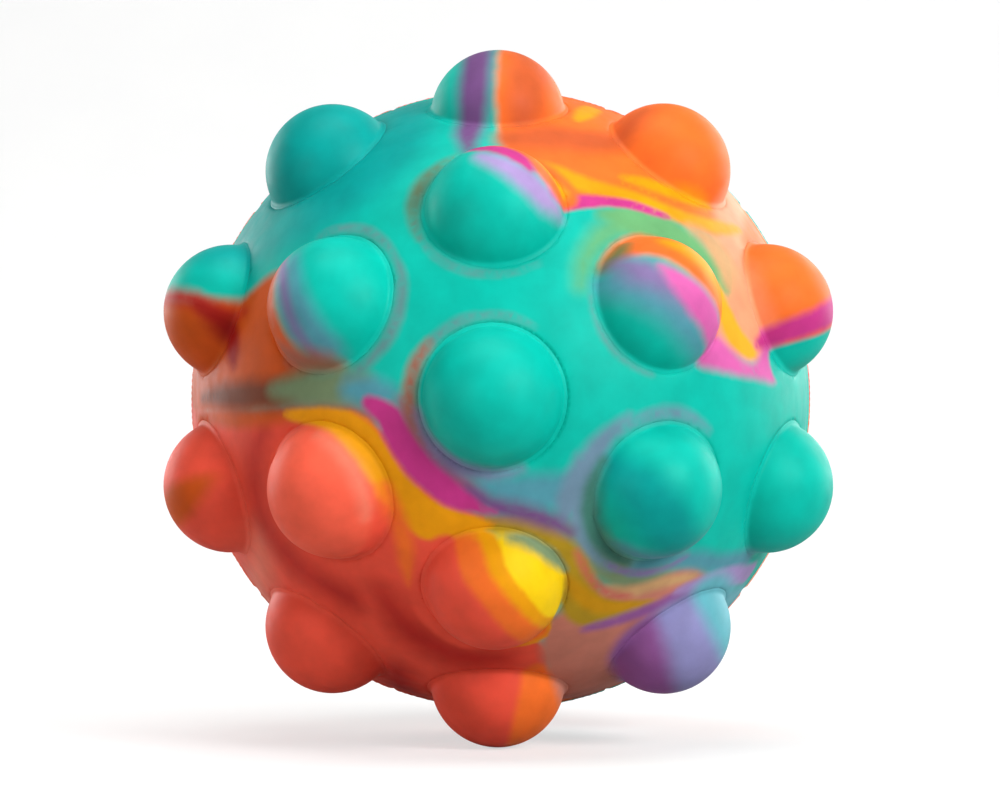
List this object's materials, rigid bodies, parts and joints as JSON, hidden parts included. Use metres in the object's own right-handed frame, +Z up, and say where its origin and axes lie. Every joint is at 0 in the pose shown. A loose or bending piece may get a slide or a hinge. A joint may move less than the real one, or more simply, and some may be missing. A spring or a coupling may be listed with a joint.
{
  "type": "pop-bubble stress ball",
  "caption": "Hollow silicone fidget ball in two bonded marbled halves, covered in domes that press in and pop back out.",
  "frame": {"origin": "centre of the ball, on the seam plane", "axes": "-Y towards the front pole bubble, +Y towards the back pole bubble, seam in the XZ plane, +Z up through the top bubbles of both outer rings, +X to the right seen from the front"},
  "size_m": [0.0596, 0.065, 0.062],
  "materials": {
    "front_silicone": "satin marbled silicone: teal, coral, orange, yellow, magenta and violet swirls",
    "back_silicone": "satin marbled silicone: coral, orange and pale blue-teal swirls",
    "seam_adhesive": "cured clear silicone adhesive, satin"
  },
  "bodies": {
    "shell": {"front_shell": "front_silicone", "back_shell": "back_silicone", "seam_adhesive": "seam_adhesive"},
    "front_pole_bubble": {"front_pole_bubble": "front_silicone"},
    "front_inner_bubble_1": {"front_inner_bubble_1": "front_silicone"},
    "front_inner_bubble_2": {"front_inner_bubble_2": "front_silicone"},
    "front_inner_bubble_3": {"front_inner_bubble_3": "front_silicone"},
    "front_inner_bubble_4": {"front_inner_bubble_4": "front_silicone"},
    "front_inner_bubble_5": {"front_inner_bubble_5": "front_silicone"},
    "front_inner_bubble_6": {"front_inner_bubble_6": "front_silicone"},
    "front_outer_bubble_1": {"front_outer_bubble_1": "front_silicone"},
    "front_outer_bubble_2": {"front_outer_bubble_2": "front_silicone"},
    "front_outer_bubble_3": {"front_outer_bubble_3": "front_silicone"},
    "front_outer_bubble_4": {"front_outer_bubble_4": "front_silicone"},
    "front_outer_bubble_5": {"front_outer_bubble_5": "front_silicone"},
    "front_outer_bubble_6": {"front_outer_bubble_6": "front_silicone"},
    "front_outer_bubble_7": {"front_outer_bubble_7": "front_silicone"},
    "front_outer_bubble_8": {"front_outer_bubble_8": "front_silicone"},
    "front_outer_bubble_9": {"front_outer_bubble_9": "front_silicone"},
    "front_outer_bubble_10": {"front_outer_bubble_10": "front_silicone"},
    "back_pole_bubble": {"back_pole_bubble": "back_silicone"},
    "back_inner_bubble_1": {"back_inner_bubble_1": "back_silicone"},
    "back_inner_bubble_2": {"back_inner_bubble_2": "back_silicone"},
    "back_inner_bubble_3": {"back_inner_bubble_3": "back_silicone"},
    "back_inner_bubble_4": {"back_inner_bubble_4": "back_silicone"},
    "back_inner_bubble_5": {"back_inner_bubble_5": "back_silicone"},
    "back_inner_bubble_6": {"back_inner_bubble_6": "back_silicone"},
    "back_outer_bubble_1": {"back_outer_bubble_1": "back_silicone"},
    "back_outer_bubble_2": {"back_outer_bubble_2": "back_silicone"},
    "back_outer_bubble_3": {"back_outer_bubble_3": "back_silicone"},
    "back_outer_bubble_4": {"back_outer_bubble_4": "back_silicone"},
    "back_outer_bubble_5": {"back_outer_bubble_5": "back_silicone"},
    "back_outer_bubble_6": {"back_outer_bubble_6": "back_silicone"},
    "back_outer_bubble_7": {"back_outer_bubble_7": "back_silicone"},
    "back_outer_bubble_8": {"back_outer_bubble_8": "back_silicone"},
    "back_outer_bubble_9": {"back_outer_bubble_9": "back_silicone"},
    "back_outer_bubble_10": {"back_outer_bubble_10": "back_silicone"}
  },
  "joints": [
    {"name": "front_pole_bubble_press", "type": "slide", "parent": "shell", "child": "front_pole_bubble", "axis": [0, 1, 0], "range_m": [0, 0.0096]},
    {"name": "front_inner_bubble_1_press", "type": "slide", "parent": "shell", "child": "front_inner_bubble_1", "axis": [0, 0.809, -0.5878], "range_m": [0, 0.0096]},
    {"name": "front_inner_bubble_2_press", "type": "slide", "parent": "shell", "child": "front_inner_bubble_2", "axis": [-0.509, 0.809, -0.2939], "range_m": [0, 0.0096]},
    {"name": "front_inner_bubble_3_press", "type": "slide", "parent": "shell", "child": "front_inner_bubble_3", "axis": [-0.509, 0.809, 0.2939], "range_m": [0, 0.0096]},
    {"name": "front_inner_bubble_4_press", "type": "slide", "parent": "shell", "child": "front_inner_bubble_4", "axis": [0, 0.809, 0.5878], "range_m": [0, 0.0096]},
    {"name": "front_inner_bubble_5_press", "type": "slide", "parent": "shell", "child": "front_inner_bubble_5", "axis": [0.509, 0.809, 0.2939], "range_m": [0, 0.0096]},
    {"name": "front_inner_bubble_6_press", "type": "slide", "parent": "shell", "child": "front_inner_bubble_6", "axis": [0.509, 0.809, -0.2939], "range_m": [0, 0.0096]},
    {"name": "front_outer_bubble_1_press", "type": "slide", "parent": "shell", "child": "front_outer_bubble_1", "axis": [0, 0.3256, -0.9455], "range_m": [0, 0.0096]},
    {"name": "front_outer_bubble_2_press", "type": "slide", "parent": "shell", "child": "front_outer_bubble_2", "axis": [-0.5558, 0.3256, -0.7649], "range_m": [0, 0.0096]},
    {"name": "front_outer_bubble_3_press", "type": "slide", "parent": "shell", "child": "front_outer_bubble_3", "axis": [-0.8992, 0.3256, -0.2922], "range_m": [0, 0.0096]},
    {"name": "front_outer_bubble_4_press", "type": "slide", "parent": "shell", "child": "front_outer_bubble_4", "axis": [-0.8992, 0.3256, 0.2922], "range_m": [0, 0.0096]},
    {"name": "front_outer_bubble_5_press", "type": "slide", "parent": "shell", "child": "front_outer_bubble_5", "axis": [-0.5558, 0.3256, 0.7649], "range_m": [0, 0.0096]},
    {"name": "front_outer_bubble_6_press", "type": "slide", "parent": "shell", "child": "front_outer_bubble_6", "axis": [0, 0.3256, 0.9455], "range_m": [0, 0.0096]},
    {"name": "front_outer_bubble_7_press", "type": "slide", "parent": "shell", "child": "front_outer_bubble_7", "axis": [0.5558, 0.3256, 0.7649], "range_m": [0, 0.0096]},
    {"name": "front_outer_bubble_8_press", "type": "slide", "parent": "shell", "child": "front_outer_bubble_8", "axis": [0.8992, 0.3256, 0.2922], "range_m": [0, 0.0096]},
    {"name": "front_outer_bubble_9_press", "type": "slide", "parent": "shell", "child": "front_outer_bubble_9", "axis": [0.8992, 0.3256, -0.2922], "range_m": [0, 0.0096]},
    {"name": "front_outer_bubble_10_press", "type": "slide", "parent": "shell", "child": "front_outer_bubble_10", "axis": [0.5558, 0.3256, -0.7649], "range_m": [0, 0.0096]},
    {"name": "back_pole_bubble_press", "type": "slide", "parent": "shell", "child": "back_pole_bubble", "axis": [0, -1, 0], "range_m": [0, 0.0096]},
    {"name": "back_inner_bubble_1_press", "type": "slide", "parent": "shell", "child": "back_inner_bubble_1", "axis": [0, -0.809, -0.5878], "range_m": [0, 0.0096]},
    {"name": "back_inner_bubble_2_press", "type": "slide", "parent": "shell", "child": "back_inner_bubble_2", "axis": [0.509, -0.809, -0.2939], "range_m": [0, 0.0096]},
    {"name": "back_inner_bubble_3_press", "type": "slide", "parent": "shell", "child": "back_inner_bubble_3", "axis": [0.509, -0.809, 0.2939], "range_m": [0, 0.0096]},
    {"name": "back_inner_bubble_4_press", "type": "slide", "parent": "shell", "child": "back_inner_bubble_4", "axis": [0, -0.809, 0.5878], "range_m": [0, 0.0096]},
    {"name": "back_inner_bubble_5_press", "type": "slide", "parent": "shell", "child": "back_inner_bubble_5", "axis": [-0.509, -0.809, 0.2939], "range_m": [0, 0.0096]},
    {"name": "back_inner_bubble_6_press", "type": "slide", "parent": "shell", "child": "back_inner_bubble_6", "axis": [-0.509, -0.809, -0.2939], "range_m": [0, 0.0096]},
    {"name": "back_outer_bubble_1_press", "type": "slide", "parent": "shell", "child": "back_outer_bubble_1", "axis": [0, -0.3256, -0.9455], "range_m": [0, 0.0096]},
    {"name": "back_outer_bubble_2_press", "type": "slide", "parent": "shell", "child": "back_outer_bubble_2", "axis": [0.5558, -0.3256, -0.7649], "range_m": [0, 0.0096]},
    {"name": "back_outer_bubble_3_press", "type": "slide", "parent": "shell", "child": "back_outer_bubble_3", "axis": [0.8992, -0.3256, -0.2922], "range_m": [0, 0.0096]},
    {"name": "back_outer_bubble_4_press", "type": "slide", "parent": "shell", "child": "back_outer_bubble_4", "axis": [0.8992, -0.3256, 0.2922], "range_m": [0, 0.0096]},
    {"name": "back_outer_bubble_5_press", "type": "slide", "parent": "shell", "child": "back_outer_bubble_5", "axis": [0.5558, -0.3256, 0.7649], "range_m": [0, 0.0096]},
    {"name": "back_outer_bubble_6_press", "type": "slide", "parent": "shell", "child": "back_outer_bubble_6", "axis": [0, -0.3256, 0.9455], "range_m": [0, 0.0096]},
    {"name": "back_outer_bubble_7_press", "type": "slide", "parent": "shell", "child": "back_outer_bubble_7", "axis": [-0.5558, -0.3256, 0.7649], "range_m": [0, 0.0096]},
    {"name": "back_outer_bubble_8_press", "type": "slide", "parent": "shell", "child": "back_outer_bubble_8", "axis": [-0.8992, -0.3256, 0.2922], "range_m": [0, 0.0096]},
    {"name": "back_outer_bubble_9_press", "type": "slide", "parent": "shell", "child": "back_outer_bubble_9", "axis": [-0.8992, -0.3256, -0.2922], "range_m": [0, 0.0096]},
    {"name": "back_outer_bubble_10_press", "type": "slide", "parent": "shell", "child": "back_outer_bubble_10", "axis": [-0.5558, -0.3256, -0.7649], "range_m": [0, 0.0096]}
  ]
}
